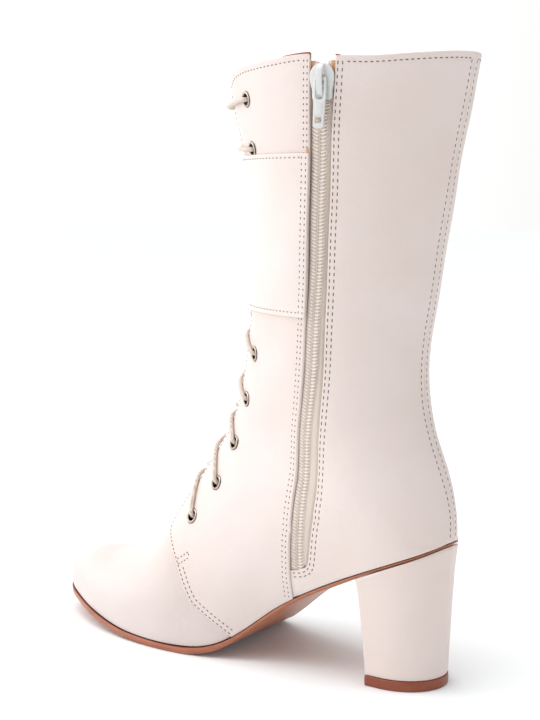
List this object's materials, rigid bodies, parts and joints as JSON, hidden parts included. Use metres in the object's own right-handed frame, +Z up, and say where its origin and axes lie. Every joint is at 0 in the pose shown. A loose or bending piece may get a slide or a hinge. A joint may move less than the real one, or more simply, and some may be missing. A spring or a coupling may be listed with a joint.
{
  "type": "zip boot",
  "caption": "Right mid-calf dress boot of cream leather with a covered block heel, laced front, wide band over the shin and a full-length inner side zip with a hinged pull.",
  "frame": {"origin": "centre of the heel's resting face, on the floor", "axes": "+X from the heel towards the toe, +Y towards the inner (medial) side of the right foot, +Z up"},
  "size_m": [0.2576, 0.0951, 0.3052],
  "materials": {
    "upper_leather": "smooth cream calf leather with a soft satin sheen",
    "tongue_leather": "soft cream leather, satin",
    "band_leather": "smooth cream calf leather with a soft satin sheen",
    "sole_leather": "stained and burnished red-brown sole leather",
    "insole_leather": "matt natural lining leather",
    "heel_cover": "cream calf leather stretched over the heel",
    "top_piece": "hard red-brown wearing rubber, satin",
    "zip_tape": "woven cream tape, matt",
    "zip_coil": "cream nylon coil",
    "zip_metal": "white enamel on cast metal",
    "eyelet_metal": "aged steel with a coppery tinge",
    "lace_cord": "round braided cord, matt"
  },
  "bodies": {
    "body": {"upper": "upper_leather", "tongue": "tongue_leather", "outsole": "sole_leather", "insole": "insole_leather", "heel": "heel_cover", "heel_top_piece": "top_piece", "front_band": "band_leather", "zip_tape_front": "zip_tape", "zip_tape_back": "zip_tape", "zip_chain": "zip_coil", "zip_slider": "zip_metal", "eyelet_m1": "eyelet_metal", "eyelet_m2": "eyelet_metal", "eyelet_m3": "eyelet_metal", "eyelet_m4": "eyelet_metal", "eyelet_m5": "eyelet_metal", "eyelet_m6": "eyelet_metal", "eyelet_m7": "eyelet_metal", "eyelet_l1": "eyelet_metal", "eyelet_l2": "eyelet_metal", "eyelet_l3": "eyelet_metal", "eyelet_l4": "eyelet_metal", "eyelet_l5": "eyelet_metal", "eyelet_l6": "eyelet_metal", "eyelet_l7": "eyelet_metal", "lace_bar_1": "lace_cord", "lace_bar_2": "lace_cord", "lace_lower": "lace_cord"},
    "pull": {"zip_pull": "zip_metal"}
  },
  "joints": [
    {"name": "pull_swing", "type": "hinge", "parent": "body", "child": "pull", "pos_m": [0.02678, 0.04642, 0.29246], "axis": [0.9814, 0.1911, 0.0191], "range_deg": [0, 160]}
  ]
}
